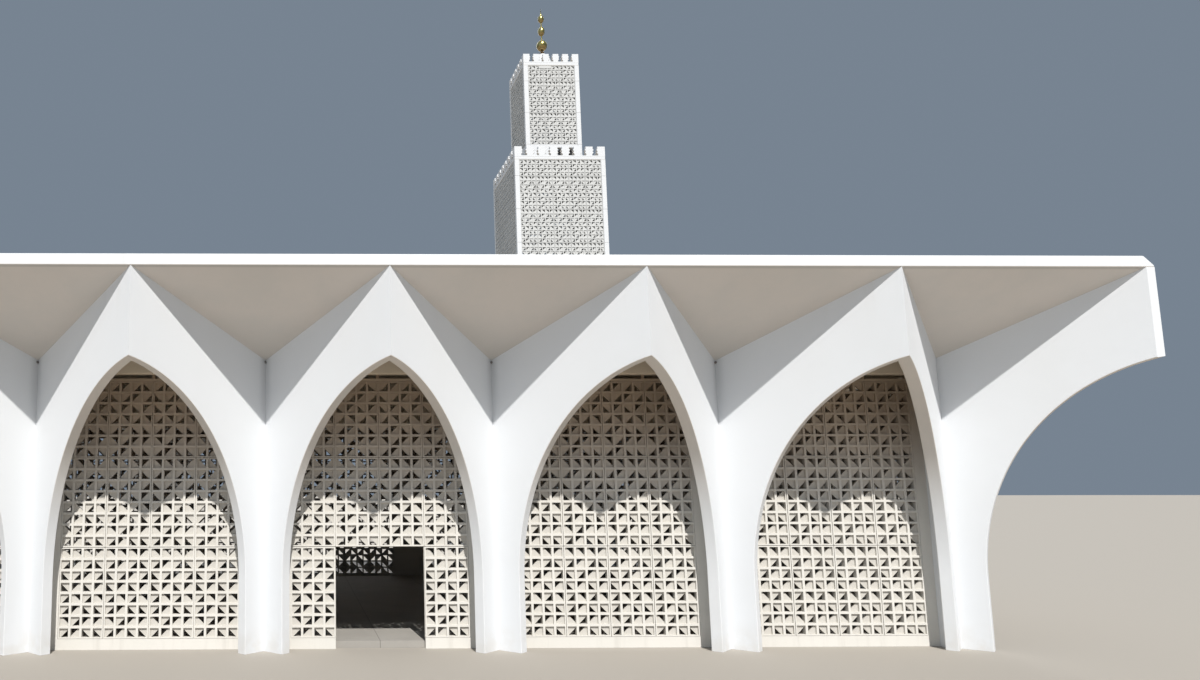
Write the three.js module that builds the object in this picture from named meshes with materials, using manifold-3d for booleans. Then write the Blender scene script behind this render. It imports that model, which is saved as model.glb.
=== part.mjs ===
// A mosque with a folded perimeter wall, screens of pierced concrete and a square tower.
// Millimetres, +Z up. The front faces -Y, and the origin is the middle of the whole footprint at ground level.

import * as THREE from "three";
import { ConvexGeometry } from "three/addons/geometries/ConvexGeometry.js";
import { mergeVertices } from "three/addons/utils/BufferGeometryUtils.js";
import Module from "manifold-3d";

// Driving dimensions
const BAY = 5000;
const FRONT_BAYS = 6;
const SIDE_BAYS = 4;
const GAP = 0.3;

// How far a cutting tool reaches past the face that it starts from
const BEYOND = 1;

// The folded wall: panels at 45 degrees between a narrow peak on the roof's edge and a valley set back from it
const PEAK_HALF_WIDTH = 4;
const PANEL_DEPTH_ACROSS = 325;
const WALL_TOP = 7700;

// The half arch cut out of every panel: an ellipse, with u running from the valley along the panel
const ARCH_CENTRE_U = 4086;
const ARCH_HALF_WIDTH = 3546;
const ARCH_RISE = 4453;
const ARCH_SPRINGING = 1534;
const ARCH_STEPS = 20;

// The lintel over the screens
const LINTEL_SETBACK = 2500;
const LINTEL_BOTTOM = 5960;

// The pierced screens, as slabs with a sunk field for every precast panel
const SCREEN_THICKNESS = 120;
const SCREEN_TOP = 5870;
const CELL = 242.5;
const PANEL_CELLS_ACROSS = 4;
const PANEL_CELLS_UP = 8;
const PANELS_ACROSS = 4;
const CURB_HEIGHT = 230;
const TOP_RAIL = 60;
const FIELD_MARGIN = 30;
const FIELD_DEPTH = 22;
const BRACKET_WIDTH = 60;
const MITRE_CLEARANCE = 0.5;

// The sloping soffit in every fold: it drops from the roof's edge to the valley, and its tip is buried in the wall
const SOFFIT_DROP = 1455;
const SOFFIT_BURIED = 90;

// The roof slab and the floor inside
const FASCIA_HEIGHT = 225;
const CORNER_CUT = 200;
const FLOOR_THICKNESS = 150;

// The tower
const TOWER_BAYS_RIGHT_OF_MIDDLE = 2;
const TOWER_WALL = 200;
const LOWER_WIDTH = 4110;
const LOWER_SHAFT_TOP = 18340;
const UPPER_WIDTH = 2590;
const UPPER_SHAFT_TOP = 23246;
const SLAB_THICKNESS = 130;
const CORNER_POST = 195;
const FIELD_ROW_HEIGHT = 1544;
const PLAIN_BASE = 700;
const HATCH_WIDTH = 870;
const HATCH_HEIGHT = 620;
const HATCH_OFFSET = 590;
const CAP_RADIUS = 500;
const CAP_HEIGHT = 1110;
const CAP_SHOULDER = 0.75;
const CAP_STEPS = 8;
const PARAPET_THICKNESS = 180;
const PARAPET_RAIL = 60;
const LOWER_MERLONS = { count: 8, height: 420, edge: 172 };
const UPPER_MERLONS = { count: 6, height: 374, edge: 160 };

// The finial: the height of each ball's middle above the cap, its radius and its half height
const FINIAL_BALLS = [
  { middle: 460, radius: 250, half: 265 },
  { middle: 1200, radius: 160, half: 230 },
  { middle: 1840, radius: 143, half: 196 },
];
const FINIAL_STEM = 32;
const FINIAL_BASE = 150;
const FINIAL_BASE_TOP = 90;
const FINIAL_BASE_HEIGHT = 120;
const FINIAL_TIP = 2420;
const BALL_STEPS = 10;
const ROUND_STEPS = 20;

// Half the gap between two merlons, as a share of their pitch, against its height as a share of theirs
const GAP_TEETH = [
  [0, 0.25],
  [0.16, 0.25],
  [0.32, 0.12],
  [0.46, 0.22],
  [0.62, 0.11],
  [0.76, 0.21],
  [1, 0.19],
];

// Sizes that follow from these
const FOLD_DEPTH = BAY / 2 - PEAK_HALF_WIDTH;
const WALL_BACK = FOLD_DEPTH + PANEL_DEPTH_ACROSS;
const HALL_WIDTH = FRONT_BAYS * BAY;
const HALL_DEPTH = SIDE_BAYS * BAY;
const PANEL_WIDTH = PANEL_CELLS_ACROSS * CELL;
const PANEL_HEIGHT = PANEL_CELLS_UP * CELL;
const DOOR_WIDTH = 2 * PANEL_WIDTH;
const DOOR_HEIGHT = CURB_HEIGHT + PANEL_HEIGHT;
const DIAGONAL = Math.SQRT1_2;
const WING_OFFSET = PANEL_DEPTH_ACROSS / 4;
const ROOF_BOTTOM = WALL_TOP + GAP;
const CORNER_LINE = BAY - PEAK_HALF_WIDTH;

// The four sides: each has its own frame, with x to the right along it and y into the building
const sideAt = (x, y, quarterTurn) =>
  new THREE.Matrix4().makeRotationZ((quarterTurn * Math.PI) / 2).setPosition(x, y, 0);
const SIDES = [
  { name: "front", cornerName: "front_right", bays: FRONT_BAYS, placing: sideAt(0, 0, 0) },
  {
    name: "right",
    cornerName: "back_right",
    bays: SIDE_BAYS,
    placing: sideAt(HALL_WIDTH / 2, HALL_DEPTH / 2, 1),
  },
  { name: "back", cornerName: "back_left", bays: FRONT_BAYS, placing: sideAt(0, HALL_DEPTH, 2) },
  {
    name: "left",
    cornerName: "front_left",
    bays: SIDE_BAYS,
    placing: sideAt(-HALL_WIDTH / 2, HALL_DEPTH / 2, -1),
  },
];

// Materials
const paint = (color, roughness, metalness = 0) =>
  new THREE.MeshStandardMaterial({ color, roughness, metalness });
const whitePlaster = paint(0xf1f3f5, 0.85);
const piercedConcrete = paint(0xd9d2c4, 0.9);
const floorConcrete = paint(0x9b968c, 0.9);
const polishedBrass = paint(0xc79a3a, 0.25, 1);

// Solids
const wasm = await Module();
wasm.setup();

function solid(geometry) {
  const bare = geometry.clone();
  bare.deleteAttribute("normal");
  bare.deleteAttribute("uv");
  const merged = mergeVertices(bare, 1e-3);
  return new wasm.Manifold(
    new wasm.Mesh({
      numProp: 3,
      vertProperties: new Float32Array(merged.attributes.position.array),
      triVerts: new Uint32Array(merged.index.array),
    }),
  );
}

function geometryOf(body) {
  const { vertProperties, triVerts } = body.getMesh();
  const geometry = new THREE.BufferGeometry();
  geometry.setAttribute("position", new THREE.BufferAttribute(vertProperties, 3));
  geometry.setIndex(new THREE.BufferAttribute(triVerts, 1));
  geometry.computeVertexNormals();
  return geometry;
}

const joined = (bodies) => bodies.reduce((whole, body) => whole.add(body));
const cut = (body, tools) => tools.reduce((rest, tool) => rest.subtract(tool), body);

function block([x0, x1], [y0, y1], [z0, z1]) {
  const geometry = new THREE.BoxGeometry(x1 - x0, y1 - y0, z1 - z0);
  geometry.translate((x0 + x1) / 2, (y0 + y1) / 2, (z0 + z1) / 2);
  return solid(geometry);
}

function prism(outline, bottom, top) {
  const shape = new THREE.Shape(outline.map(([x, y]) => new THREE.Vector2(x, y)));
  const geometry = new THREE.ExtrudeGeometry(shape, { depth: top - bottom, bevelEnabled: false });
  geometry.translate(0, 0, bottom);
  return solid(geometry);
}

function mesh(name, body, material, x = 0) {
  const piece = new THREE.Mesh(geometryOf(body), material);
  piece.name = name;
  piece.position.x = x;
  return piece;
}

// The tool that cuts a half arch through a panel: it starts at the valley point and runs along the panel
function halfArch([x, y], [dx, dy]) {
  const reach = ARCH_CENTRE_U - 1;
  const below = -100;
  const halfThrough = 420;
  const start = Math.acos((reach - ARCH_CENTRE_U) / ARCH_HALF_WIDTH);
  const shape = new THREE.Shape();
  shape.moveTo(ARCH_CENTRE_U - ARCH_HALF_WIDTH, below);
  shape.lineTo(reach, below);
  shape.absellipse(ARCH_CENTRE_U, ARCH_SPRINGING, ARCH_HALF_WIDTH, ARCH_RISE, start, Math.PI, false);
  const geometry = new THREE.ExtrudeGeometry(shape, {
    depth: 2 * halfThrough,
    bevelEnabled: false,
    curveSegments: ARCH_STEPS,
  });
  geometry.translate(0, 0, -halfThrough);
  const basis = new THREE.Matrix4().makeBasis(
    new THREE.Vector3(dx, dy, 0),
    new THREE.Vector3(0, 0, 1),
    new THREE.Vector3(dy, -dx, 0),
  );
  basis.setPosition(x, y, 0);
  return solid(geometry.applyMatrix4(basis));
}

// A soffit between the roof's edge and the deepest point of its plan, which lies that far in from the edge
function soffit(start, end, deepest, depth) {
  const drop = (SOFFIT_DROP / FOLD_DEPTH) * depth;
  const points = [start, end, deepest].map(([x, y]) => new THREE.Vector3(x, y, WALL_TOP));
  points.push(new THREE.Vector3(...deepest, WALL_TOP - drop));
  return solid(new ConvexGeometry(points));
}

// One fold of the wall, about its valley: two panels, each with a half arch, and the soffit and lintel between them
function fold() {
  const side = BAY / 2 - GAP / 2;
  const back = WALL_BACK - side;
  const outline = [
    [-side, 0],
    [-FOLD_DEPTH, 0],
    [0, FOLD_DEPTH],
    [FOLD_DEPTH, 0],
    [side, 0],
    [side, back],
    [0, WALL_BACK],
    [-side, back],
  ];
  const valley = [0, FOLD_DEPTH];
  const panels = cut(prism(outline, 0, WALL_TOP), [
    halfArch(valley, [DIAGONAL, -DIAGONAL]),
    halfArch(valley, [-DIAGONAL, -DIAGONAL]),
  ]);
  const depth = FOLD_DEPTH + SOFFIT_BURIED;
  return joined([
    panels,
    soffit([-FOLD_DEPTH, 0], [FOLD_DEPTH, 0], [0, depth], depth),
    block([-side, side], [LINTEL_SETBACK, WALL_BACK], [LINTEL_BOTTOM, WALL_TOP]),
  ]);
}

// A corner of the wall: its roof corner is at 0, 0, and the building lies towards -x and +y of it.
// Two panels make one straight diagonal wall, a wing with a half arch of its own reaches out to the corner, and a
// soffit lies on each side of the wing.
function corner() {
  const end = BAY - GAP / 2;
  const back = WALL_BACK - (BAY / 2 - GAP / 2);
  const line = CORNER_LINE;
  const middle = line / 2;
  const wingRoot = middle + PANEL_DEPTH_ACROSS / 4;
  const depth = middle + SOFFIT_BURIED;
  const lintel = [LINTEL_BOTTOM, WALL_TOP];
  const setback = [LINTEL_SETBACK, WALL_BACK];
  const wall = [
    [-end, 0],
    [-line, 0],
    [0, line],
    [0, end],
    [-back, end],
    [-end, back],
  ];
  const wing = [
    [-wingRoot - WING_OFFSET, wingRoot - WING_OFFSET],
    [-2 * WING_OFFSET, 0],
    [0, 0],
    [0, 2 * WING_OFFSET],
    [-wingRoot + WING_OFFSET, wingRoot + WING_OFFSET],
  ];
  const whole = joined([
    prism(wall, 0, WALL_TOP),
    prism(wing, 0, WALL_TOP),
    soffit([-line, 0], [0, 0], [-middle, depth], depth),
    soffit([0, line], [0, 0], [-depth, middle], depth),
    block([-WALL_BACK, -LINTEL_SETBACK], setback, [0, WALL_TOP]),
    block([-end, -LINTEL_SETBACK], setback, lintel),
    block([-WALL_BACK, -LINTEL_SETBACK], [LINTEL_SETBACK, end], lintel),
  ]);
  return cut(whole, [
    halfArch([-BAY / 2, FOLD_DEPTH], [-DIAGONAL, -DIAGONAL]),
    halfArch([-FOLD_DEPTH, BAY / 2], [DIAGONAL, DIAGONAL]),
    halfArch([-middle, middle], [DIAGONAL, -DIAGONAL]),
  ]);
}

// A screen about its bay's middle: its ends are mitred into the folds, or square against a corner's post
function screen({ squareLeft = false, squareRight = false, door = false }) {
  const front = WALL_BACK - SCREEN_THICKNESS;
  const mitre = BAY / 2 - MITRE_CLEARANCE;
  const square = BAY - WALL_BACK - GAP;
  const outline = [
    [squareLeft ? -square : SCREEN_THICKNESS - mitre, front],
    [squareRight ? square : mitre - SCREEN_THICKNESS, front],
    [squareRight ? square : mitre, WALL_BACK],
    [squareLeft ? -square : -mitre, WALL_BACK],
  ];
  const columnAt = (index) => (index - PANELS_ACROSS / 2) * PANEL_WIDTH;
  const through = [front - BEYOND, WALL_BACK + BEYOND];
  const fields = [];
  for (let column = 0; column < PANELS_ACROSS; column += 1) {
    for (let z = CURB_HEIGHT; z < SCREEN_TOP - TOP_RAIL; z += PANEL_HEIGHT) {
      const top = Math.min(z + PANEL_HEIGHT, SCREEN_TOP - TOP_RAIL);
      const overDoor = door && z === CURB_HEIGHT && Math.abs(columnAt(column + 0.5)) < DOOR_WIDTH / 2;
      if (overDoor) continue;
      fields.push(
        block(
          [columnAt(column) + FIELD_MARGIN, columnAt(column + 1) - FIELD_MARGIN],
          [front - BEYOND, front + FIELD_DEPTH],
          [z + FIELD_MARGIN, top - FIELD_MARGIN],
        ),
      );
    }
  }
  if (door) fields.push(block([-DOOR_WIDTH / 2, DOOR_WIDTH / 2], through, [-BEYOND, DOOR_HEIGHT]));
  const brackets = [];
  for (let index = 0; index <= PANELS_ACROSS; index += 1) {
    const x = columnAt(index);
    brackets.push(
      block(
        [x - BRACKET_WIDTH / 2, x + BRACKET_WIDTH / 2],
        [front + FIELD_DEPTH, WALL_BACK - FIELD_DEPTH],
        [SCREEN_TOP - BEYOND, LINTEL_BOTTOM - GAP],
      ),
    );
  }
  return joined([cut(prism(outline, 0, SCREEN_TOP), fields), ...brackets]);
}

// The roof slab, with the tool that cuts off the corner at the right end of one side
function cornerCut(placing, length) {
  const far = CORNER_CUT + 2 * BEYOND;
  const x = length / 2 + BEYOND;
  const z = ROOF_BOTTOM + FASCIA_HEIGHT + BEYOND;
  const points = [
    new THREE.Vector3(x, -BEYOND, z),
    new THREE.Vector3(x - far - BEYOND, -BEYOND, z),
    new THREE.Vector3(x, far, z),
    new THREE.Vector3(x, -BEYOND, z - far - BEYOND),
  ];
  return solid(new ConvexGeometry(points).applyMatrix4(placing));
}

function roof() {
  const slab = block(
    [-HALL_WIDTH / 2, HALL_WIDTH / 2],
    [0, HALL_DEPTH],
    [ROOF_BOTTOM, ROOF_BOTTOM + FASCIA_HEIGHT],
  );
  return cut(slab, SIDES.map(({ placing, bays }) => cornerCut(placing, bays * BAY)));
}

function hallFloor() {
  const inset = WALL_BACK + GAP;
  return block(
    [-HALL_WIDTH / 2 + inset, HALL_WIDTH / 2 - inset],
    [inset, HALL_DEPTH - inset],
    [0, FLOOR_THICKNESS],
  );
}

// The tower, about its own middle
function quarterTurns(body) {
  return [0, 90, 180, 270].map((angle) => body.rotate([0, 0, angle]));
}

function shaft(width, bottom, top, plainBase) {
  const half = width / 2;
  const clear = half - TOWER_WALL;
  const outer = block([-half, half], [-half, half], [bottom, top]);
  const hollow = block([-clear, clear], [-clear, clear], [bottom - BEYOND, top + BEYOND]);
  const field = half - CORNER_POST;
  const fields = [];
  let fieldTop = top;
  let height = FIELD_ROW_HEIGHT / 2;
  while (fieldTop - height >= bottom + plainBase) {
    fields.push(
      ...quarterTurns(
        block(
          [-field, field],
          [-half - BEYOND, -half + FIELD_DEPTH],
          [fieldTop - height + FIELD_MARGIN / 2, fieldTop - FIELD_MARGIN / 2],
        ),
      ),
    );
    fieldTop -= height;
    height = FIELD_ROW_HEIGHT;
  }
  return cut(outer, [hollow, ...fields]);
}

function upperShaft(bottom) {
  const half = UPPER_WIDTH / 2;
  const hatch = block(
    [HATCH_OFFSET - HATCH_WIDTH / 2, HATCH_OFFSET + HATCH_WIDTH / 2],
    [-half - BEYOND, -half + TOWER_WALL + BEYOND],
    [bottom + FLOOR_THICKNESS, bottom + FLOOR_THICKNESS + HATCH_HEIGHT],
  );
  return cut(shaft(UPPER_WIDTH, bottom, UPPER_SHAFT_TOP, PLAIN_BASE), [hatch]);
}

function slab(width, bottom) {
  return block([-width / 2, width / 2], [-width / 2, width / 2], [bottom, bottom + SLAB_THICKNESS]);
}

// Four rows of merlons with saw-toothed sides on a low rail, mitred at the corners
function parapet(width, bottom, { count, height, edge }) {
  const half = width / 2;
  const pitch = (width - 2 * edge) / (count - 1);
  const outline = [
    [half, 0],
    [half, PARAPET_RAIL + height],
  ];
  for (let gap = count - 2; gap >= 0; gap -= 1) {
    const middle = -half + edge + (gap + 0.5) * pitch;
    const down = [...GAP_TEETH].reverse();
    outline.push(...down.map(([up, wide]) => [middle + wide * pitch, PARAPET_RAIL + up * height]));
    outline.push(...GAP_TEETH.map(([up, wide]) => [middle - wide * pitch, PARAPET_RAIL + up * height]));
  }
  outline.push([-half, PARAPET_RAIL + height], [-half, 0]);
  const shape = new THREE.Shape(outline.map(([x, z]) => new THREE.Vector2(x, z)));
  const geometry = new THREE.ExtrudeGeometry(shape, { depth: PARAPET_THICKNESS, bevelEnabled: false });
  geometry.rotateX(Math.PI / 2);
  geometry.translate(0, -half + PARAPET_THICKNESS, bottom);
  const reach = half + BEYOND;
  const clear = GAP * DIAGONAL;
  const quarter = [
    [clear - reach, -reach],
    [reach - clear, -reach],
    [0, -clear],
  ];
  const mitred = prism(quarter, bottom - BEYOND, bottom + PARAPET_RAIL + height + BEYOND);
  return quarterTurns(solid(geometry).intersect(mitred));
}

function turned(profile, bottom) {
  const geometry = new THREE.LatheGeometry(profile, ROUND_STEPS);
  geometry.rotateX(Math.PI / 2);
  geometry.translate(0, 0, bottom);
  return solid(geometry);
}

function cap(bottom) {
  const side = new THREE.QuadraticBezierCurve(
    new THREE.Vector2(CAP_RADIUS, 0),
    new THREE.Vector2(CAP_RADIUS, CAP_SHOULDER * CAP_HEIGHT),
    new THREE.Vector2(FINIAL_BASE, CAP_HEIGHT),
  );
  const profile = [new THREE.Vector2(0, 0), ...side.getPoints(CAP_STEPS), new THREE.Vector2(0, CAP_HEIGHT)];
  return turned(profile, bottom);
}

function finial(bottom) {
  const profile = [
    new THREE.Vector2(0, 0),
    new THREE.Vector2(FINIAL_BASE, 0),
    new THREE.Vector2(FINIAL_BASE_TOP, FINIAL_BASE_HEIGHT),
    new THREE.Vector2(FINIAL_STEM, FINIAL_BASE_HEIGHT),
  ];
  for (const { middle, radius, half } of FINIAL_BALLS) {
    const reach = Math.acos(FINIAL_STEM / radius);
    const ball = new THREE.EllipseCurve(0, middle, radius, half, -reach, reach);
    profile.push(...ball.getPoints(BALL_STEPS));
  }
  profile.push(new THREE.Vector2(0, FINIAL_TIP));
  return turned(profile, bottom);
}

// The assembly
function sideGroup({ name, cornerName, bays, placing }) {
  const group = new THREE.Group();
  group.applyMatrix4(placing);
  const half = (bays * BAY) / 2;
  for (let index = 1; index < bays - 1; index += 1) {
    group.add(mesh(`fold_${name}_${index}`, fold(), whitePlaster, -half + (index + 0.5) * BAY));
  }
  group.add(mesh(`corner_${cornerName}`, corner(), whitePlaster, half));
  for (let index = 1; index < bays; index += 1) {
    const body = screen({
      squareLeft: index === 1,
      squareRight: index === bays - 1,
      door: name === "front" && index === bays / 2,
    });
    group.add(mesh(`screen_${name}_${index}`, body, piercedConcrete, -half + index * BAY));
  }
  return group;
}

function parapetMeshes(name, bodies) {
  return bodies.map((body, index) => mesh(`${name}_${SIDES[index].name}`, body, whitePlaster));
}

function towerGroup() {
  const group = new THREE.Group();
  group.position.set(TOWER_BAYS_RIGHT_OF_MIDDLE * BAY, HALL_DEPTH + GAP + LOWER_WIDTH / 2, 0);
  const terrace = LOWER_SHAFT_TOP + GAP;
  const terraceTop = terrace + SLAB_THICKNESS + GAP;
  const upperRoof = UPPER_SHAFT_TOP + GAP;
  const upperRoofTop = upperRoof + SLAB_THICKNESS + GAP;
  group.add(
    mesh("tower_lower_shaft", shaft(LOWER_WIDTH, 0, LOWER_SHAFT_TOP, 0), piercedConcrete),
    mesh("tower_terrace", slab(LOWER_WIDTH, terrace), whitePlaster),
    ...parapetMeshes("tower_lower_parapet", parapet(LOWER_WIDTH, terraceTop, LOWER_MERLONS)),
    mesh("tower_upper_shaft", upperShaft(terraceTop), piercedConcrete),
    mesh("tower_upper_roof", slab(UPPER_WIDTH, upperRoof), whitePlaster),
    ...parapetMeshes("tower_upper_parapet", parapet(UPPER_WIDTH, upperRoofTop, UPPER_MERLONS)),
    mesh("tower_cap", cap(upperRoofTop), whitePlaster),
    mesh("tower_finial", finial(upperRoofTop + CAP_HEIGHT + GAP), polishedBrass),
  );
  return group;
}

const mosque = new THREE.Group();
mosque.position.y = -(HALL_DEPTH + GAP + LOWER_WIDTH) / 2;
mosque.add(mesh("roof", roof(), whitePlaster), mesh("hall_floor", hallFloor(), floorConcrete));
mosque.add(...SIDES.map(sideGroup), towerGroup());

export default mosque;
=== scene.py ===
# A mosque with a folded perimeter wall, screens of pierced concrete and a square tower.
# Metres, +Z up, the front faces -Y, and the origin is the middle of the footprint at ground level.

import math

import bmesh
import bpy
from mathutils import Euler, Matrix, Vector


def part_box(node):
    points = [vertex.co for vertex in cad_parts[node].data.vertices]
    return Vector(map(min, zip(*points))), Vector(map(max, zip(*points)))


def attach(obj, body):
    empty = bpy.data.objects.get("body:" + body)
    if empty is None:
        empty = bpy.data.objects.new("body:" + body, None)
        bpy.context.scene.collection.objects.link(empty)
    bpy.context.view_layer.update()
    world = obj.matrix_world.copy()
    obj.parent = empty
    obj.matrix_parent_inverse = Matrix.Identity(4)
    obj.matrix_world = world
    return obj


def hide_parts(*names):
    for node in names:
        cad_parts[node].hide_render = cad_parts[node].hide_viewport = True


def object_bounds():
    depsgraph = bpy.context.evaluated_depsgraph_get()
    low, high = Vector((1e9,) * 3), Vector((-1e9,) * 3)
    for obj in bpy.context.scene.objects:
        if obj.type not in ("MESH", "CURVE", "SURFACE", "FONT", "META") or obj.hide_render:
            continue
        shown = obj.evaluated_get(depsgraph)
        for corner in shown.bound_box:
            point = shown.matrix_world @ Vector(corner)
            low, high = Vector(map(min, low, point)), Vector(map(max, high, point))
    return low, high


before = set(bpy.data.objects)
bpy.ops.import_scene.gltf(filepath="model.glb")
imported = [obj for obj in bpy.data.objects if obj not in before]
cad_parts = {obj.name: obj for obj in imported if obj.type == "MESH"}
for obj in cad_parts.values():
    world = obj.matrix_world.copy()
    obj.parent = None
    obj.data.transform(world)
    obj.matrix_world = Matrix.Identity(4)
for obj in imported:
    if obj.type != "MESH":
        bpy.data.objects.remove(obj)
cad_low, cad_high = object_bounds()

# The hall: its bays, the folded wall, the pierced screens behind it and the clearances between pieces
BAY = 5.0
FRONT_BAYS = 6
SIDE_BAYS = 4
HALL_WIDTH = FRONT_BAYS * BAY
HALL_DEPTH = SIDE_BAYS * BAY
FRONT_Y = cad_low.y
HALL_MIDDLE_Y = FRONT_Y + HALL_DEPTH / 2
FOLD_DEPTH = 2.496
WALL_BACK = 2.821
WALL_TOP = 7.7
SOFFIT_DROP = 1.455
SCREEN_THICKNESS = 0.12
SCREEN_FRONT = WALL_BACK - SCREEN_THICKNESS
SCREEN_TOP = 5.87
LINTEL_BOTTOM = 5.96
LINTEL_SETBACK = 2.5
GAP = 0.0003
MITRE_CLEARANCE = 0.0005

# A precast screen panel: its cells, the ribs between them and the mortar joint around it
PANEL_WIDTH = 0.97
PANEL_HEIGHT = 1.94
PANELS_ACROSS = 4
PANELS_UP = 3
CELLS_ACROSS = 4
CELLS_UP = 8
JOINT = 0.014
JOINT_DEPTH = 0.032
CURB_HEIGHT = 0.23
TOP_RAIL = 0.06
RIB_SHARE = 0.105
HOLE_SHARE = 0.87
LATTICE_HOLE_SHARE = 0.84
WELD_DISTANCE = 0.001
PLATE_RECESS = 0.042
BRACKET_WIDTH = 0.06
BRACKET_RECESS = 0.045
DOOR_PANELS = 2
DOOR_HALF = DOOR_PANELS * PANEL_WIDTH / 2
SCREEN_HALF = PANELS_ACROSS * PANEL_WIDTH / 2
RAIL_BOTTOM = SCREEN_TOP - TOP_RAIL
ROW_BOTTOMS = [CURB_HEIGHT + step * PANEL_HEIGHT for step in range(PANELS_UP)]

# Which corner of each cell is open, from the panel's top row down, and the corners by a cell's turns
OPEN_CORNERS = (
    "◥◥◥◤",
    "◢◤◢◣",
    "◣◢◤◢",
    "◣◤◣◤",
    "◢◥◢◥",
    "◢◤◣◣",
    "◥◢◤◤",
    "◢◤◣◣",
)
CORNER_TURNS = "◣◤◥◢"

# The plastered concrete: its rounded arrises, and the distances, angles and area that tell what is rounded
ARRIS = 0.014
PARAPET_ARRIS = 0.008
NEAR_JOINT = 0.006
JOINT_WELD = 0.0035
ARRIS_ANGLE = math.radians(25)
SMOOTH_ANGLE = math.radians(12)
FLAT_ANGLE = math.radians(0.4)
LARGE_FACE = 0.4

# The tower: its two stages, their lattice and the posts of precast blocks at the corners
TOWER_X = 2 * BAY
LOWER_STAGE = {"width": 4.11, "bottom": 0.0, "top": 18.34, "panels": 5, "full_rows": 11}
UPPER_STAGE = {"width": 2.59, "bottom": 18.4706, "top": 23.246, "panels": 3, "full_rows": 2}
TOWER_WALL = 0.2
LATTICE_THICKNESS = 0.09
LATTICE_RECESS = 0.026
LATTICE_SETBACK = 0.012
CORNER_POST = 0.195
POST_JOINT = 0.012
POST_JOINT_DEPTH = 0.01
FIELD_ROW = 1.544
HATCH_XS = (0.155, 1.025)
HATCH_ZS = (18.6206, 19.2406)
BLANK_BAR_XS = (-0.59, 0.01)
BLANK_BAR_HEIGHT = 0.12
BLANK_BAR_DROP = 0.03

# The plastered cap on the tower's roof and the brass finial on it, as outlines that are turned
CAP_RADIUS = 0.5
CAP_HEIGHT = 1.11
CAP_SHOULDER = 0.75
CAP_STEPS = 24
FINIAL_BALLS = ((0.46, 0.25, 0.265), (1.2, 0.16, 0.23), (1.84, 0.143, 0.196))
FINIAL_STEM = 0.032
FINIAL_BASE = 0.15
FINIAL_BASE_TOP = 0.09
FINIAL_BASE_HEIGHT = 0.12
FINIAL_TIP = 2.42
FINIAL_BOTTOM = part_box("tower_finial")[0][2]
BALL_STEPS = 20
TURNED_STEPS = 64

# A drain pipe under the lowest point of each soffit
DRAIN_RADIUS = 0.022
DRAIN_WALL = 0.005
DRAIN_REACH = 0.05
DRAIN_ROOT = 0.02
DRAIN_SIDES = 16

# The stage: a floor just below the feet of the walls that reaches to the horizon, and an even sky
STAGE_REACH = 1800
STAGE_DROP = 0.002
STAGE_COLOR = (0.375, 0.346, 0.307)
STAGE_ROUGHNESS = 0.9
SKY_COLOR = (0.32, 0.395, 0.49, 1)
SKY_STRENGTH = 0.58

# The camera: where it stands, how it is turned, its lens, its picture's shift and how far it sees
EYE = (-1.73, -27.50, 3.29)
YAW = math.radians(0.8)
PITCH = math.radians(6.6)
ROLL = math.radians(0.1)
LENS = 24.63
SENSOR_WIDTH = 36.0
SHIFT_X = 0.24
SHIFT_Y = 0.05
CLIP_END = 6000


# Node trees, whose formulas are written as expressions on values
class Tree:
    """A node tree, and the one way in which nodes are added to it."""

    def __init__(self, tree):
        self.nodes = tree.nodes
        self.links = tree.links

    def add(self, kind, terms, **settings):
        """A new node. Its settings come first, and then the value or the link of each socket."""
        node = self.nodes.new(kind)
        for name, setting in settings.items():
            setattr(node, name, setting)
        for name, term in terms.items():
            if isinstance(term, Value):
                self.links.new(term.socket, node.inputs[name])
            else:
                node.inputs[name].default_value = term
        return node

    def value(self, output, kind, terms, **settings):
        """What a new node gives at one of its outputs."""
        return Value(self, self.add(kind, terms, **settings).outputs[output])


class Value:
    """A socket that gives a value. Each operator adds the node that works it out."""

    def __init__(self, tree, socket):
        self.tree = tree
        self.socket = socket

    def math(self, operation, *terms):
        return self.tree.value(0, "ShaderNodeMath", dict(enumerate(terms)), operation=operation)

    def __add__(self, other):
        return self.math("ADD", self, other)

    def __sub__(self, other):
        return self.math("SUBTRACT", self, other)

    def __rsub__(self, other):
        return self.math("SUBTRACT", other, self)

    def __mul__(self, other):
        return self.math("MULTIPLY", self, other)

    def __mod__(self, other):
        return self.math("FLOORED_MODULO", self, other)

    def __abs__(self):
        return self.math("ABSOLUTE", self)

    __radd__ = __add__
    __rmul__ = __mul__

    def low(self, other):
        """The lower one of two values."""
        return self.math("MINIMUM", self, other)

    def between(self, start, end):
        """0 at start, 1 at end, smooth in between."""
        terms = {"Value": self, "From Min": start, "From Max": end}
        return self.tree.value("Result", "ShaderNodeMapRange", terms, interpolation_type="SMOOTHSTEP")


# Materials, and which inputs and output of a colour mix are its factor, its two colours and its result
MIX_FACTOR = 0
MIX_UNDER = 6
MIX_OVER = 7
MIX_RESULT = 2


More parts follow.
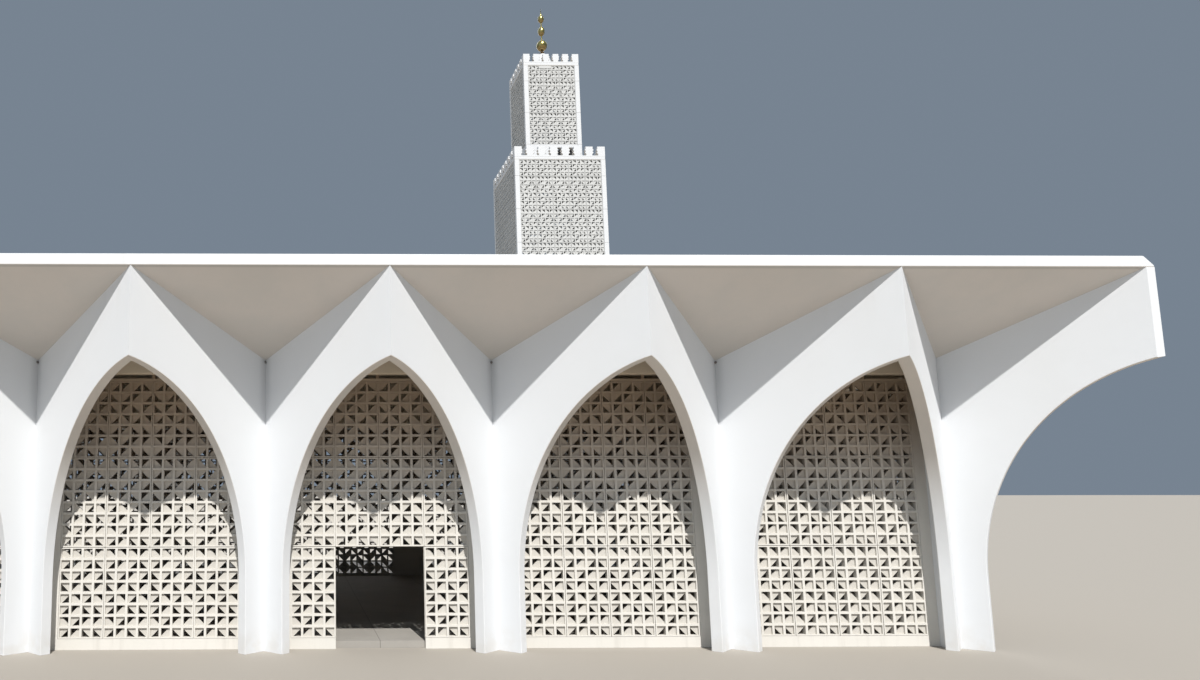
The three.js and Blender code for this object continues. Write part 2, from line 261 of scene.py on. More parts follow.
class Finish(Tree):
    """A material that is built from values over the surface."""

    def __init__(self, name, color, roughness, metallic=0.0):
        self.material = bpy.data.materials.new(name)
        self.material.use_nodes = True
        super().__init__(self.material.node_tree)
        self.shader = next(node for node in self.nodes if node.type == "BSDF_PRINCIPLED")
        self.shader.inputs["Base Color"].default_value = (*color, 1)
        self.shader.inputs["Roughness"].default_value = roughness
        self.shader.inputs["Metallic"].default_value = metallic
        self.color = color
        self.place = self.value("Object", "ShaderNodeTexCoord", {})
        self.x, self.y, self.z = self.parts(self.place)
        self.facing_up = self.parts(self.value("Normal", "ShaderNodeNewGeometry", {}))[2]

    def parts(self, vector):
        """The x, y and z of a vector."""
        node = self.add("ShaderNodeSeparateXYZ", {"Vector": vector})
        return [Value(self, out) for out in node.outputs]

    def feed(self, name, value):
        self.links.new(value.socket, self.shader.inputs[name])

    def noise(self, scale, detail=3.0, roughness=0.5, stretch=(1, 1, 1)):
        place = self.value("Vector", "ShaderNodeMapping", {"Vector": self.place, "Scale": stretch})
        terms = {"Vector": place, "Scale": scale, "Detail": detail, "Roughness": roughness}
        return self.value("Fac", "ShaderNodeTexNoise", terms)

    def inward(self):
        """How far a point lies in from the hall's nearest side."""
        from_ends = HALL_WIDTH / 2 - abs(self.x)
        from_long_sides = HALL_DEPTH / 2 - abs(self.y - HALL_MIDDLE_Y)
        return from_ends.low(from_long_sides)

    def blend(self, *stops):
        """The base colour, then each (amount, colour) laid over what is under it."""
        under = (*self.color, 1)
        for amount, color in stops:
            terms = {MIX_FACTOR: amount, MIX_UNDER: under, MIX_OVER: (*color, 1)}
            under = self.value(MIX_RESULT, "ShaderNodeMix", terms, data_type="RGBA")
        self.feed("Base Color", under)

    def roughness(self, amount):
        self.feed("Roughness", amount)

    def bump(self, height, distance, strength):
        terms = {"Height": height, "Distance": distance, "Strength": strength}
        self.feed("Normal", self.value("Normal", "ShaderNodeBump", terms))


def white_plaster():
    """Whitewash, greyed by rain and dust and dusty on top, with painted warm shade underneath and under the
    arches, painted shade on the soffits, a painted shadow line behind the fascia, darker down each valley
    below a soffit's tip, and painted warm bounce light on the lintels.
    """
    finish = Finish("white_plaster", (0.765, 0.785, 0.81), 0.62)
    inward = finish.inward()
    valley = WALL_TOP - SOFFIT_DROP
    cloud = finish.noise(0.35, 4.0, 0.6).between(0.42, 0.68)
    streak = finish.noise(2.2, 4.0, 0.62, (1, 1, 0.06)).between(0.55, 0.78)
    soot = finish.noise(0.9, 5.0, 0.65).between(0.36, 0.68)
    puddle = finish.noise(0.16, 6.0, 0.55).between(0.50, 0.56)
    grain = finish.noise(60.0, 4.0, 0.7)
    trowel = finish.noise(2.6, 3.0, 0.55)
    downward = finish.facing_up.between(-0.35, -0.75)
    upward = finish.facing_up.between(0.7, 0.95)
    near_top = finish.z.between(WALL_TOP - 1.5, WALL_TOP + 0.1)
    on_tower = finish.z.between(WALL_TOP + 0.5, WALL_TOP + 0.9)
    splash = finish.z.between(0.7, 0.0) * finish.noise(3.0, 4.0).between(0.35, 0.65)
    # Painted warm shade on the slightly downward faces under the arches
    intrados_shade = finish.facing_up.between(-0.02, -0.30) * finish.z.between(2.4, 4.8)
    # Painted warm bounce light on the lintels and on everything further in under the roof, all of it in
    # shade
    behind_folds = inward.between(LINTEL_SETBACK - 0.0025, LINTEL_SETBACK - 0.0005)
    under_roof = finish.z.between(WALL_TOP + 0.001, WALL_TOP)
    lintel = behind_folds * under_roof * finish.z.between(LINTEL_BOTTOM - 0.06, LINTEL_BOTTOM - 0.01)
    # A painted shadow line along the soffit just behind the fascia
    fascia_shadow_line = inward.between(0.07, 0.035) * downward
    # Painted shade on the soffits, stronger deeper in towards the valleys
    deep_soffit_shade = inward.between(1.0, 2.4) * downward
    # Darker bluish grey down each valley just below a soffit's tip
    below_drain = inward.between(FOLD_DEPTH - 0.16, FOLD_DEPTH - 0.01) * finish.z.between(4.9, 6.1)
    valley_darkening = below_drain * finish.z.between(valley + 0.25, valley)
    finish.blend(
        (cloud * 0.5, (0.74, 0.755, 0.77)),
        (streak * near_top * 0.28, (0.62, 0.61, 0.585)),
        (splash * 0.30, (0.60, 0.56, 0.50)),
        (on_tower * 0.9, (0.66, 0.675, 0.695)),
        # Painted warm shade under the arches and on every downward face
        (intrados_shade * 0.7, (0.72, 0.65, 0.57)),
        (downward * 0.62, (0.63, 0.575, 0.53)),
        (downward * soot * 0.30, (0.56, 0.55, 0.52)),
        # The painted shadow line behind the fascia
        (fascia_shadow_line * 0.45, (0.36, 0.35, 0.33)),
        # The painted shade deeper in under the soffits
        (deep_soffit_shade * 0.45, (0.49, 0.48, 0.455)),
        # Darker down each valley below a soffit's tip
        (valley_darkening * 0.45, (0.44, 0.46, 0.47)),
        # The painted warm bounce light on the lintels
        (lintel, (0.93, 0.80, 0.63)),
        (upward * 0.85, (0.53, 0.52, 0.495)),
        (upward * soot * 0.22, (0.42, 0.40, 0.37)),
        (upward * puddle * 0.30, (0.45, 0.43, 0.39)),
    )
    finish.roughness(grain * 0.2 + 0.52)
    finish.bump(grain * 0.25 + trowel, 0.004, 0.6)
    return finish.material


def pierced_concrete(name, color, dusty, dark, painted_shade):
    """Grey-brown concrete with pores and runs, with painted shade in the recessed plates and painted brown
    shade towards the top of a screen under the roof.
    """
    finish = Finish(name, color, 0.85)
    cloud = finish.noise(0.8, 4.0, 0.6).between(0.38, 0.66)
    pores = finish.noise(45.0, 5.0, 0.75)
    streak = finish.noise(5.0, 4.0, 0.6, (1, 1, 0.08)).between(0.5, 0.75)
    # Painted brown shade, rising towards the top of a screen under the roof
    under_roof = finish.z.between(2.8, 5.6) * finish.z.between(WALL_TOP + 0.1, WALL_TOP)
    # Painted shade on the plates, recessed behind the ribs
    recess = finish.inward().between(SCREEN_FRONT + 0.008, SCREEN_FRONT + 0.035)
    finish.blend(
        (cloud * 0.55, dusty),
        (streak * 0.35, dark),
        (pores.between(0.52, 0.8) * 0.5, dark),
        # The painted shade in the recesses and under the roof
        (recess * painted_shade * 0.8, dark),
        (under_roof * painted_shade, (0.40, 0.295, 0.20)),
    )
    finish.roughness(pores * 0.2 + 0.74)
    finish.bump(pores, 0.003, 0.7)
    return finish.material


def floor_concrete():
    """Trowelled concrete with joints, two to a bay each way."""
    field = BAY / 2
    finish = Finish("floor_concrete", (0.38, 0.36, 0.33), 0.7)
    cloud = finish.noise(0.7, 5.0, 0.6).between(0.35, 0.7)
    from_joint_x = abs((finish.x + field / 2) % field - field / 2)
    from_joint_y = abs((finish.y + field / 2) % field - field / 2)
    joints = from_joint_x.low(from_joint_y).between(0.008, 0.002)
    finish.blend((cloud * 0.6, (0.31, 0.295, 0.27)), (joints, (0.12, 0.11, 0.10)))
    finish.bump(finish.noise(30.0, 4.0), 0.003, 0.5)
    return finish.material


def brass():
    """Brass that has gone olive, with painted shade underneath, and dark bronze at the foot."""
    finish = Finish("brass", (0.50, 0.43, 0.16), 0.2, 1.0)
    tarnish = finish.noise(7.0, 4.0, 0.6).between(0.40, 0.70)
    # Painted shade on the faces that look down
    ball_underside_shade = finish.facing_up.between(0.1, -0.6)
    foot = finish.z.between(FINIAL_BOTTOM + 0.24, FINIAL_BOTTOM + 0.14)
    finish.blend(
        (tarnish * 0.5, (0.33, 0.28, 0.10)),
        (ball_underside_shade * 0.7, (0.24, 0.15, 0.08)),
        (foot * 0.85, (0.16, 0.095, 0.065)),
    )
    finish.roughness(tarnish * 0.16 + 0.24)
    finish.bump(finish.noise(3.0, 2.0), 0.006, 0.5)
    return finish.material


def drain_iron():
    """Dark painted iron with rust coming through at its rim."""
    finish = Finish("drain_iron", (0.15, 0.15, 0.15), 0.6)
    rust = finish.noise(30.0, 5.0, 0.7).between(0.45, 0.6)
    finish.blend((rust * 0.8, (0.21, 0.085, 0.035)))
    finish.roughness(rust * 0.3 + 0.55)
    finish.bump(finish.noise(90.0, 4.0), 0.001, 0.7)
    return finish.material


WHITE = white_plaster()
SCREEN = pierced_concrete(
    "pierced_concrete",
    color=(0.72, 0.70, 0.655),
    dusty=(0.76, 0.735, 0.69),
    dark=(0.53, 0.505, 0.46),
    # How strong the painted shade is in the recesses and under the roof
    painted_shade=0.85,
)
LATTICE = pierced_concrete(
    "tower_lattice",
    color=(0.57, 0.575, 0.57),
    dusty=(0.62, 0.625, 0.62),
    dark=(0.43, 0.43, 0.42),
    painted_shade=0,
)
FLOOR = floor_concrete()
BRASS = brass()
IRON = drain_iron()

# The hall's floor is the one node that is shown as it is
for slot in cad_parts["hall_floor"].material_slots:
    slot.material = FLOOR

# The sides of a box seen from outside, with its corners counted along x, then along y and then along z
BOTTOM = (0, 2, 3, 1)
TOP = (4, 5, 7, 6)
FRONT = (0, 1, 5, 4)
BACK = (2, 6, 7, 3)
LEFT = (0, 4, 6, 2)
RIGHT = (1, 3, 7, 5)
BOX_SIDES = (BOTTOM, TOP, FRONT, BACK, LEFT, RIGHT)
SLEEVE_SIDES = (BOTTOM, TOP, LEFT, RIGHT)


# Meshes
class Form:
    """Collects corners and faces, in metres, for one mesh."""

    def __init__(self):
        self.corners = []
        self.faces = []

    def add(self, corners, faces):
        start = len(self.corners)
        self.corners += corners
        self.faces += [tuple(start + index for index in face) for face in faces]

    def add_placed(self, other, placing):
        """Another form, put in its place."""
        self.add([placing @ Vector(corner) for corner in other.corners], other.faces)

    def box(self, xs, ys, zs, sides=BOX_SIDES, back_xs=None):
        """A box, or some of its sides. Its ends slant where it has other xs at the back."""
        corners = [(x, y, z) for z in zs for y, row in zip(ys, (xs, back_xs or xs)) for x in row]
        self.add(corners, sides)

    def mesh(self, name):
        data = bpy.data.meshes.new(name)
        data.from_pydata([tuple(corner) for corner in self.corners], [], self.faces)
        data.update()
        return data


def add_piece(data, material, node=None):
    """A piece with this mesh and its name, given this material. It may stand for a node, which is then
    hidden.
    """
    piece = bpy.data.objects.new(data.name, data)
    data.materials.append(material)
    bpy.context.scene.collection.objects.link(piece)
    if node:
        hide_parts(node)
    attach(piece, "root")


def joined_mesh(name, meshes, placing):
    """One mesh from several in one side's own frame, put where that side is."""
    form = Form()
    for data in meshes:
        corners = [tuple(vertex.co) for vertex in data.vertices]
        form.add(corners, [tuple(polygon.vertices) for polygon in data.polygons])
    data = form.mesh(name)
    data.transform(placing)
    return data


def quarter_turns(count):
    return Matrix.Rotation(count * math.pi / 2, 4, "Z")


# The precast panels, each a sheet of cells with a hole in one corner
def cell_mesh(thickness, recess, hole_share):
    """One cell of side 1: a square rib, a recessed plate over most of it and a hole through one corner."""
    half = 0.5
    inner = half - RIB_SHARE
    leg = hole_share * 2 * inner - inner

    def square(y, reach):
        """The corners of a square, with the two ends of the slanted edge between them."""
        return [
            (-reach, y, -reach),
            (leg, y, -reach),
            (reach, y, -reach),
            (reach, y, reach),
            (-reach, y, reach),
            (-reach, y, leg),
        ]

    # From the front: the rib's outer and inner edge, the plate, and the same three the other way round
    levels = [square(0, half), square(0, inner), square(recess, inner)]
    levels += [square(thickness - recess, inner), square(thickness, inner), square(thickness, half)]
    corners = [corner for level in levels for corner in level]
    sides = len(levels[0])
    open_sides = (0, sides - 1)

    def at(level, index):
        return sides * level + index % sides

    def wall(level, index):
        return (at(level, index), at(level, index + 1), at(level + 1, index + 1), at(level + 1, index))

    faces = [wall(level, index) for level in (0, 1, 3, 4) for index in range(sides)]
    faces += [wall(2, index) for index in open_sides]
    faces.append(tuple(at(2, index) for index in range(1, sides)))
    faces.append(tuple(at(3, index) for index in range(sides - 1, 0, -1)))
    faces.append((at(2, sides - 1), at(3, sides - 1), at(3, 1), at(2, 1)))
    form = Form()
    form.add(corners, faces)
    return form.mesh("cell")


def pierced_tree():
    """Geometry nodes that put a turned cell on every point, join them up and give them their material."""
    group = bpy.data.node_groups.new("pierced_panel", "GeometryNodeTree")
    inputs = {
        "Geometry": "NodeSocketGeometry",
        "Cell": "NodeSocketObject",
        "Weld distance": "NodeSocketFloat",
        "Material": "NodeSocketMaterial",
    }
    for name, kind in inputs.items():
        group.interface.new_socket(name, in_out="INPUT", socket_type=kind)
    group.interface.new_socket("Geometry", in_out="OUTPUT", socket_type="NodeSocketGeometry")
    tree = Tree(group)
    given = tree.add("NodeGroupInput", {})
    points, cell, distance, material = (Value(tree, given.outputs[name]) for name in inputs)
    attribute = tree.add("GeometryNodeInputNamedAttribute", {"Name": "turn"}, data_type="INT")
    turn = Value(tree, next(out for out in attribute.outputs if out.enabled and out.name == "Attribute"))
    rotation = tree.value("Vector", "ShaderNodeCombineXYZ", {"Y": turn * (math.pi / 2)})
    shape = tree.value("Geometry", "GeometryNodeObjectInfo", {"Object": cell})
    terms = {"Points": points, "Instance": shape, "Rotation": rotation}
    cells = tree.value("Instances", "GeometryNodeInstanceOnPoints", terms)
    realized = tree.value("Geometry", "GeometryNodeRealizeInstances", {"Geometry": cells})
    terms = {"Geometry": realized, "Distance": distance}
    welded = tree.value("Geometry", "GeometryNodeMergeByDistance", terms)
    terms = {"Geometry": welded, "Material": material}
    finished = tree.value("Geometry", "GeometryNodeSetMaterial", terms)
    tree.add("NodeGroupOutput", {"Geometry": finished})
    return group


class Precast:
    """Precast panels of one make, with one thickness, one recess of the plates and one size of holes."""

    def __init__(self, thickness, recess, hole_share, material):
        self.thickness = thickness
        self.cell = bpy.data.objects.new("cell", cell_mesh(thickness, recess, hole_share))
        self.material = material
        self.sheets = {}

    def sheet(self, skip):
        """A sheet of cells of side 1 with its front at y 0. It leaves out the pattern's first skip rows."""
        rows = CELLS_UP - skip
        spots = []
        turns = []
        for row in range(rows):
            for column in range(CELLS_ACROSS):
                spots.append((column + 0.5, 0, rows - row - 0.5))
                turns.append(CORNER_TURNS.index(OPEN_CORNERS[skip + row][column]))
        points = bpy.data.meshes.new("points")
        points.from_pydata(spots, [], [])
        points.attributes.new("turn", "INT", "POINT").data.foreach_set("value", turns)
        holder = bpy.data.objects.new("points", points)
        bpy.context.scene.collection.objects.link(holder)
        modifier = holder.modifiers.new("pierced", "NODES")
        modifier.node_group = PIERCED_TREE
        sizes = {"Cell": self.cell, "Weld distance": WELD_DISTANCE, "Material": self.material}
        for item in PIERCED_TREE.interface.items_tree:
            if item.name in sizes:
                modifier[item.identifier] = sizes[item.name]
        graph = bpy.context.evaluated_depsgraph_get()
        data = bpy.data.meshes.new_from_object(holder.evaluated_get(graph))
        bpy.data.objects.remove(holder)
        return data

    def panel(self, xs, zs, front, skip=0):
        """One panel between xs and zs, with the mortar joint left around it, as meshes."""
        if skip not in self.sheets:
            self.sheets[skip] = self.sheet(skip)
        sheet = self.sheets[skip].copy()
        low_x, high_x = xs[0] + JOINT / 2, xs[1] - JOINT / 2
        low_z, high_z = zs[0] + JOINT / 2, zs[1] - JOINT / 2
        cell_width = (high_x - low_x) / CELLS_ACROSS
        cell_height = (high_z - low_z) / (CELLS_UP - skip)
        scale = Matrix.Diagonal((cell_width, 1, cell_height, 1))
        sheet.transform(Matrix.Translation((low_x, front, low_z)) @ scale)
        rim = Form()
        rim.box((low_x, high_x), (front, front + self.thickness), (low_z, high_z), SLEEVE_SIDES)
        return [sheet, rim.mesh("rim")]


PIERCED_TREE = pierced_tree()
screen_make = Precast(SCREEN_THICKNESS, PLATE_RECESS, HOLE_SHARE, SCREEN)
lattice_make = Precast(LATTICE_THICKNESS, LATTICE_RECESS, LATTICE_HOLE_SHARE, LATTICE)


# The four sides: each has its own frame, with x to the right along it and y into the building
def side_at(x, y, turns):
    return Matrix.Translation((x, FRONT_Y + y, 0)) @ quarter_turns(turns)


SIDES = {
    "front": (FRONT_BAYS, side_at(0, 0, 0)),
    "right": (SIDE_BAYS, side_at(HALL_WIDTH / 2, HALL_DEPTH / 2, 1)),
    "back": (FRONT_BAYS, side_at(0, HALL_DEPTH, 2)),
    "left": (SIDE_BAYS, side_at(-HALL_WIDTH / 2, HALL_DEPTH / 2, -1)),
}


# The screens, one behind each arch: panels, mortar and brackets between a curb, a top rail and two margins
def screen_panels(door):
    """The panels of a screen about its bay's middle, as meshes. The topmost ones lack a row of cells."""
    meshes = []
    for column in range(PANELS_ACROSS):
        xs = (column * PANEL_WIDTH - SCREEN_HALF, (column + 1) * PANEL_WIDTH - SCREEN_HALF)
        for bottom in ROW_BOTTOMS:
            if door and bottom == CURB_HEIGHT and abs(sum(xs)) / 2 < DOOR_HALF:
                continue
            top = bottom + PANEL_HEIGHT
            skip = 0
            if top > RAIL_BOTTOM:
                top = RAIL_BOTTOM
                skip = 1
            meshes += screen_make.panel(xs, (bottom, top), SCREEN_FRONT, skip)
    return meshes


def spans_beside(door):
    """A screen's width between its margins, in one span or in the two beside a doorway."""
    if door:
        return [(-SCREEN_HALF, -DOOR_HALF), (DOOR_HALF, SCREEN_HALF)]
    return [(-SCREEN_HALF, SCREEN_HALF)]


def add_joints(solid, door):
    """The mortar between a screen's panels, and the brackets that hold it under the lintel."""
    mortar_ys = (SCREEN_FRONT + JOINT_DEPTH, WALL_BACK - JOINT_DEPTH)
    bracket_ys = (SCREEN_FRONT + BRACKET_RECESS, WALL_BACK - BRACKET_RECESS)
    for step in range(PANELS_ACROSS + 1):
        x = step * PANEL_WIDTH - SCREEN_HALF
        over_doorway = door and abs(x) < DOOR_HALF
        mortar_bottom = ROW_BOTTOMS[1] if over_doorway else CURB_HEIGHT
        solid.box((x - JOINT / 2, x + JOINT / 2), mortar_ys, (mortar_bottom, RAIL_BOTTOM))
        bracket_xs = (x - BRACKET_WIDTH / 2, x + BRACKET_WIDTH / 2)
        solid.box(bracket_xs, bracket_ys, (SCREEN_TOP, LINTEL_BOTTOM - GAP))
    for z in (*ROW_BOTTOMS, RAIL_BOTTOM):
        for span in spans_beside(door and z == CURB_HEIGHT):
            solid.box(span, mortar_ys, (z - JOINT / 2, z + JOINT / 2))


def end_of_screen(is_square):
    """How far a screen reaches from its bay's middle, in front and at the back."""
    square = BAY - WALL_BACK - GAP
    mitre = BAY / 2 - MITRE_CLEARANCE
    return (square, square) if is_square else (mitre - SCREEN_THICKNESS, mitre)


def add_surround(solid, left_end, right_end, door):
    """The margins, the top rail and the curb around a screen's panels."""
    ys = (SCREEN_FRONT, WALL_BACK)
    left_xs, left_back_xs = ((-reach, -SCREEN_HALF) for reach in left_end)
    right_xs, right_back_xs = ((SCREEN_HALF, reach) for reach in right_end)
    solid.box(left_xs, ys, (0, SCREEN_TOP), back_xs=left_back_xs)
    solid.box(right_xs, ys, (0, SCREEN_TOP), back_xs=right_back_xs)
    solid.box((-SCREEN_HALF, SCREEN_HALF), ys, (RAIL_BOTTOM, SCREEN_TOP))
    for span in spans_beside(door):
        solid.box(span, ys, (0, CURB_HEIGHT))


def screen(square_left, square_right, door):
    """A screen about its bay's middle, as meshes. Ends are mitred, but square at the hall's corners."""
    solid = Form()
    add_joints(solid, door)
    add_surround(solid, end_of_screen(square_left), end_of_screen(square_right), door)
    return [*screen_panels(door), solid.mesh("solid")]


for side, (bays, placing) in SIDES.items():
    for index in range(1, bays):
        has_door = side == "front" and index == bays // 2
        meshes = screen(index == 1, index == bays - 1, has_door)
        at_bay = placing @ Matrix.Translation((-bays * BAY / 2 + index * BAY, 0, 0))
        data = joined_mesh(f"pierced_{side}_{index}", meshes, at_bay)
        add_piece(data, SCREEN, f"screen_{side}_{index}")


# The tower's lattice, face by face, and the frame of posts that holds it
def tower_rows(stage):
    """The (bottom, top, cell rows left out) of each row of panels, from the half row at the top down."""
    rows = []
    top = stage["top"]
    for index in range(stage["full_rows"] + 1):
        skip = 0 if index else CELLS_UP // 2
        bottom = top - FIELD_ROW * (CELLS_UP - skip) / CELLS_UP
        rows.append((bottom, top, skip))
        top = bottom
    return rows


def lattice_bottom(stage):
    return tower_rows(stage)[-1][0]


def lattice_face(stage):
    """One face of a stage about the tower's middle, with mortar behind its joints, as meshes."""
    half = stage["width"] / 2
    field = half - CORNER_POST
    step = 2 * field / stage["panels"]
    front = LATTICE_SETBACK - half
    mortar_ys = (front + JOINT_DEPTH, front + LATTICE_THICKNESS - JOINT_DEPTH)
    rows = tower_rows(stage)
    meshes = []
    mortar = Form()
    for column in range(stage["panels"]):
        left = -field + column * step
        for bottom, top, skip in rows:
            meshes += lattice_make.panel((left, left + step), (bottom, top), front, skip)
        mortar.box((left - JOINT / 2, left + JOINT / 2), mortar_ys, (lattice_bottom(stage), stage["top"]))
    for bottom, *_ in rows:
        mortar.box((-field, field), mortar_ys, (bottom - JOINT / 2, bottom + JOINT / 2))
    meshes.append(mortar.mesh("mortar"))
    return meshes


def corner_posts(stage):
    """Posts of stacked blocks at a stage's four corners, each around a core that shows in the joints."""
    form = Form()
    half = stage["width"] / 2
    levels = [stage["bottom"], *(bottom for bottom, *_ in reversed(tower_rows(stage))), stage["top"]]
    for sign_x in (-1, 1):
        for sign_y in (-1, 1):
            xs = sorted((sign_x * half, sign_x * (half - CORNER_POST)))
            ys = sorted((sign_y * half, sign_y * (half - CORNER_POST)))
            for low, high in zip(levels, levels[1:]):
                trim_low = 0 if low == stage["bottom"] else POST_JOINT / 2
                trim_high = 0 if high == stage["top"] else POST_JOINT / 2
                form.box(xs, ys, (low + trim_low, high - trim_high))
            core_xs = (xs[0] + POST_JOINT_DEPTH, xs[1] - POST_JOINT_DEPTH)
            core_ys = (ys[0] + POST_JOINT_DEPTH, ys[1] - POST_JOINT_DEPTH)
            form.box(core_xs, core_ys, (stage["bottom"], stage["top"]))
    return form


def plain_wall(stage, has_hatch):
    """The wall under the lattice between two posts, with or without the hatch in it."""
    half = stage["width"] / 2
    field = half - CORNER_POST
    ys = (LATTICE_SETBACK - half, TOWER_WALL - half)
    zs = (stage["bottom"], lattice_bottom(stage))
    form = Form()
    if has_hatch:
        form.box((-field, HATCH_XS[0]), ys, zs)
        form.box((HATCH_XS[1], field), ys, zs)
        form.box(HATCH_XS, ys, (zs[0], HATCH_ZS[0]))
        form.box(HATCH_XS, ys, (HATCH_ZS[1], zs[1]))
    else:
        form.box((-field, field), ys, zs)
    return form


def blank_bar(stage):
    """A bar on the lattice, flush with the posts."""
    half = stage["width"] / 2
    top = stage["top"] - BLANK_BAR_DROP
    form = Form()
    form.box(BLANK_BAR_XS, (-half, LATTICE_SETBACK - half), (top - BLANK_BAR_HEIGHT, top))
    return form.mesh("bar")


tower_y = FRONT_Y + HALL_DEPTH + GAP + LOWER_STAGE["width"] / 2
tower_middle = Matrix.Translation((TOWER_X, tower_y, 0))
for stage_name, stage in (("lower", LOWER_STAGE), ("upper", UPPER_STAGE)):
    node = f"tower_{stage_name}_shaft"
    face = lattice_face(stage)
    posts_and_walls = corner_posts(stage)
    for turns, side in enumerate(SIDES):
        has_hatch = stage_name == "upper" and side == "front"
        meshes = [*face, blank_bar(stage)] if has_hatch else face
        data = joined_mesh(f"lattice_{stage_name}_{side}", meshes, tower_middle @ quarter_turns(turns))
        add_piece(data, LATTICE, node)
        posts_and_walls.add_placed(plain_wall(stage, has_hatch), quarter_turns(turns))
    data = posts_and_walls.mesh(f"tower_{stage_name}_frame")
    data.transform(tower_middle)
    add_piece(data, WHITE, node)


# The white concrete: the shapes of the frame with rounded arrises and smooth arches
def from_joint(distance):
    """How far a point lies past the nearest joint between two bays."""
    return (distance + BAY / 2) % BAY - BAY / 2


def sharpen_peaks(form):
    """The narrow flat at each peak of the folded wall is drawn together into one edge."""
    for vertex in form.verts:
        x, y = vertex.co.x, vertex.co.y - FRONT_Y
        on_long_side = min(y, HALL_DEPTH - y) < GAP
        on_short_side = HALL_WIDTH / 2 - abs(x) < GAP
        if on_long_side and abs(from_joint(x)) < NEAR_JOINT:
            vertex.co.x += math.copysign(GAP / 2, from_joint(x)) - from_joint(x)
        if on_short_side and abs(from_joint(y)) < NEAR_JOINT:
            vertex.co.y += math.copysign(GAP / 2, from_joint(y)) - from_joint(y)


def add_eased(node, on_joint, width, has_peaks=False):
    """A copy of a node's shape, with every arris rounded that doesn't lie in a joint."""
    form = bmesh.new()
    form.from_mesh(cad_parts[node].data)
    if has_peaks:
        sharpen_peaks(form)
    bmesh.ops.remove_doubles(form, verts=form.verts, dist=GAP / 3)
    in_joint = [vertex for vertex in form.verts if on_joint(vertex.co)]
    bmesh.ops.remove_doubles(form, verts=in_joint, dist=JOINT_WELD)
    bmesh.ops.dissolve_limit(form, angle_limit=FLAT_ANGLE, verts=form.verts, edges=form.edges)
    arrises = [
        edge
        for edge in form.edges
        if edge.is_convex
        and edge.calc_face_angle(0) > ARRIS_ANGLE
        and not all(on_joint(vertex.co) for vertex in edge.verts)
    ]
    bmesh.ops.bevel(form, geom=arrises, offset=width, segments=2, profile=0.5, affect="EDGES")
    data = bpy.data.meshes.new(f"plastered_{node}")
    form.to_mesh(data)
    form.free()
    data.set_sharp_from_angle(angle=SMOOTH_ANGLE)
    for polygon in data.polygons:
        polygon.use_smooth = polygon.area < LARGE_FACE
    add_piece(data, WHITE, node)


def on_hall_joint(point):
    """Where two pieces of the folded wall meet, and where it stands on the ground or carries the roof."""
    distances = (from_joint(point.x), from_joint(point.y - FRONT_Y), point.z, point.z - WALL_TOP)
    return min(abs(distance) for distance in distances) < NEAR_JOINT


def on_tower_joint(point):
    """Where two sides of a parapet are mitred."""
    return abs(abs(point.x - TOWER_X) - abs(point.y - tower_y)) < NEAR_JOINT


def on_no_joint(point):
    """A slab is one piece, with no joint in it."""
    return False


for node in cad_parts:
    if node.startswith(("fold", "corner")):
        add_eased(node, on_hall_joint, ARRIS, has_peaks=True)
    elif node in ("roof", "tower_terrace", "tower_upper_roof"):
        add_eased(node, on_no_joint, ARRIS)
    elif "parapet" in node:
        add_eased(node, on_tower_joint, PARAPET_ARRIS)


# The cap and the finial, turned about the tower's axis
def turned_mesh(name, outline, bottom):
    """A round mesh from its outline's (radius, height) points, which start and end on the axis."""
    form = bmesh.new()
    vertices = [form.verts.new((radius, 0, height)) for radius, height in outline]
    edges = [form.edges.new(pair) for pair in zip(vertices, vertices[1:])]
    bmesh.ops.spin(
        form,
        geom=vertices + edges,
        cent=(0, 0, 0),
        axis=(0, 0, 1),
        angle=2 * math.pi,
        steps=TURNED_STEPS,
        use_merge=True,
    )
    bmesh.ops.remove_doubles(form, verts=form.verts, dist=GAP)
    bmesh.ops.recalc_face_normals(form, faces=form.faces)
    data = bpy.data.meshes.new(name)
    form.to_mesh(data)
    form.free()
    data.transform(Matrix.Translation((TOWER_X, tower_y, bottom)))
    data.shade_smooth()
    data.set_sharp_from_angle(angle=ARRIS_ANGLE)
    return data


def cap_outline():
    """From the wide foot up over the shoulder to the finial's foot, as one curve with one pull point."""
    outline = [(0, 0)]
    for step in range(CAP_STEPS + 1):
        along = step / CAP_STEPS
        pull = 2 * along * (1 - along)
        radius = CAP_RADIUS * (1 - along) ** 2 + CAP_RADIUS * pull + FINIAL_BASE * along**2
        outline.append((radius, CAP_SHOULDER * CAP_HEIGHT * pull + CAP_HEIGHT * along**2))
    return [*outline, (0, CAP_HEIGHT)]


def finial_outline():
    """A conical foot and a stem with three balls, each (middle, radius, half its height)."""
    shoulder = (FINIAL_BASE_TOP, FINIAL_BASE_HEIGHT)
    outline = [(0, 0), (FINIAL_BASE, 0), shoulder, (FINIAL_STEM, FINIAL_BASE_HEIGHT)]
    for middle, radius, half in FINIAL_BALLS:
        reach = math.acos(FINIAL_STEM / radius)
        for step in range(BALL_STEPS + 1):
            angle = reach * (2 * step / BALL_STEPS - 1)
            outline.append((radius * math.cos(angle), middle + half * math.sin(angle)))
    return [*outline, (0, FINIAL_TIP)]


cap_mesh = turned_mesh("turned_cap", cap_outline(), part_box("tower_cap")[0][2])
add_piece(cap_mesh, WHITE, "tower_cap")
finial_mesh = turned_mesh("turned_finial", finial_outline(), FINIAL_BOTTOM)
add_piece(finial_mesh, BRASS, "tower_finial")


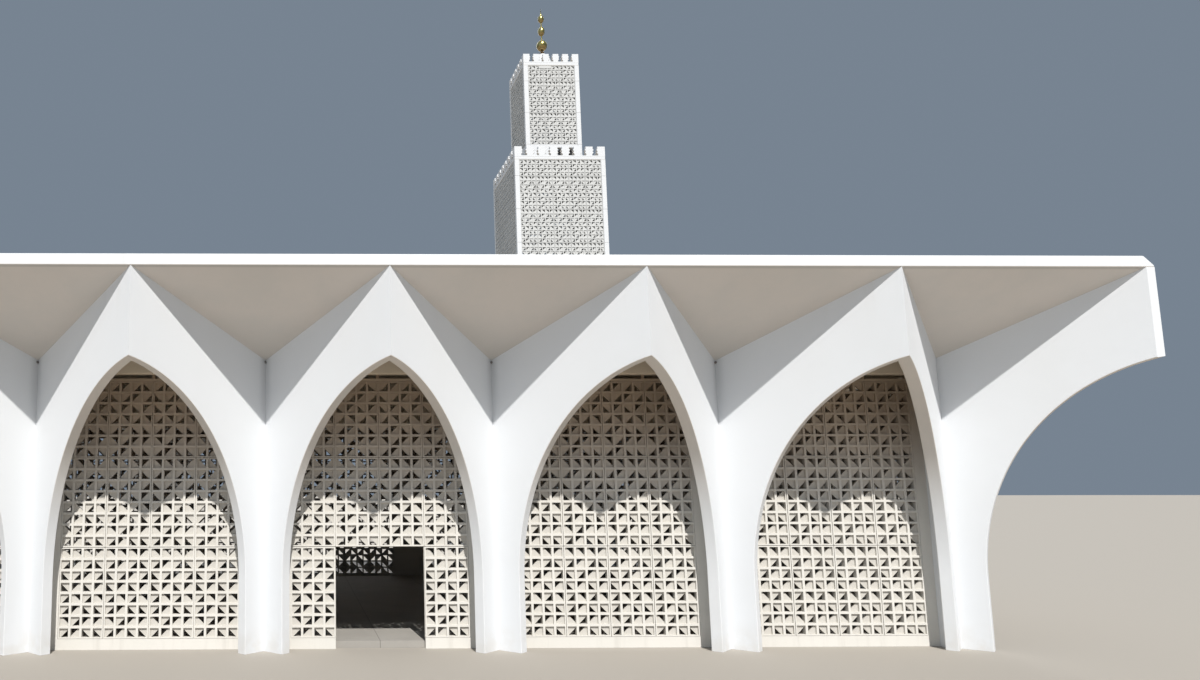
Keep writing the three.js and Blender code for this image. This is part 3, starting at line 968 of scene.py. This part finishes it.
# The mouth of a drain where each fold's soffit is lowest
def drain_pipe():
    """A short pipe along y with its mouth in front, closed behind, as one form about its middle."""
    bore = DRAIN_RADIUS - DRAIN_WALL
    rings = ((DRAIN_ROOT, DRAIN_RADIUS), (-DRAIN_REACH, DRAIN_RADIUS), (-DRAIN_REACH, bore), (0, bore))
    form = Form()
    for y, radius in rings:
        for side in range(DRAIN_SIDES):
            turn = 2 * math.pi * side / DRAIN_SIDES
            form.corners.append((radius * math.cos(turn), y, radius * math.sin(turn)))
    for ring in range(len(rings) - 1):
        for side in range(DRAIN_SIDES):
            first = ring * DRAIN_SIDES + side
            second = ring * DRAIN_SIDES + (side + 1) % DRAIN_SIDES
            form.faces.append((second, second + DRAIN_SIDES, first + DRAIN_SIDES, first))
    form.faces.append(tuple(reversed(range(DRAIN_SIDES))))
    form.faces.append(tuple(range(len(form.corners) - DRAIN_SIDES, len(form.corners))))
    return form


def drain_mouths():
    """A pipe in every valley of the folded wall."""
    form = Form()
    pipe = drain_pipe()
    level = WALL_TOP - SOFFIT_DROP - 2 * DRAIN_RADIUS
    for bays, placing in SIDES.values():
        for index in range(1, bays - 1):
            spot = placing @ Matrix.Translation(((index + 0.5 - bays / 2) * BAY, FOLD_DEPTH, level))
            form.add_placed(pipe, spot)
    return form.mesh("soffit_drains")


add_piece(drain_mouths(), IRON)


# The stage
reach = (-STAGE_REACH, STAGE_REACH)
floor = Form()
floor.add([(x, y, 0) for y in reach for x in reach], [(0, 1, 3, 2)])
ground = bpy.data.objects.new("stage_floor", floor.mesh("floor"))
ground.location.z = -STAGE_DROP
ground.data.materials.append(Finish("stage", STAGE_COLOR, STAGE_ROUGHNESS).material)
bpy.context.scene.collection.objects.link(ground)


# The lights: a high sun in front, and soft light from the left and from behind
def add_sun(name, energy, width, azimuth, height, color):
    """A sun whose azimuth is counted from the front towards the right, all angles in degrees."""
    light = bpy.data.objects.new(name, bpy.data.lights.new(name, "SUN"))
    light.data.energy = energy
    light.data.angle = math.radians(width)
    light.data.color = color
    turn = math.radians(azimuth)
    towards_light = Vector((math.sin(turn), -math.cos(turn), math.tan(math.radians(height))))
    light.rotation_euler = towards_light.to_track_quat("Z", "Y").to_euler()
    bpy.context.scene.collection.objects.link(light)


add_sun("sun", energy=4.4, width=0.8, azimuth=3, height=49, color=(1.0, 0.972, 0.93))
add_sun("fill", energy=0.26, width=60, azimuth=-50, height=25, color=(0.80, 0.90, 1.0))
add_sun("back_fill", energy=1.2, width=50, azimuth=172, height=32, color=(1.0, 0.985, 0.96))
world = bpy.data.worlds.new("studio")
world.use_nodes = True
background = next(node for node in world.node_tree.nodes if node.type == "BACKGROUND")
background.inputs["Color"].default_value = SKY_COLOR
background.inputs["Strength"].default_value = SKY_STRENGTH
bpy.context.scene.world = world

# The camera
camera = bpy.data.objects.new("camera", bpy.data.cameras.new("camera"))
camera.data.lens = LENS
camera.data.sensor_width = SENSOR_WIDTH
camera.data.shift_x = SHIFT_X
camera.data.shift_y = SHIFT_Y
camera.data.clip_end = CLIP_END
camera.location = EYE
camera.rotation_euler = Euler((math.pi / 2 + PITCH, ROLL, -YAW), "XYZ")
bpy.context.scene.collection.objects.link(camera)
bpy.context.scene.camera = camera
bpy.context.scene.view_settings.view_transform = "Standard"
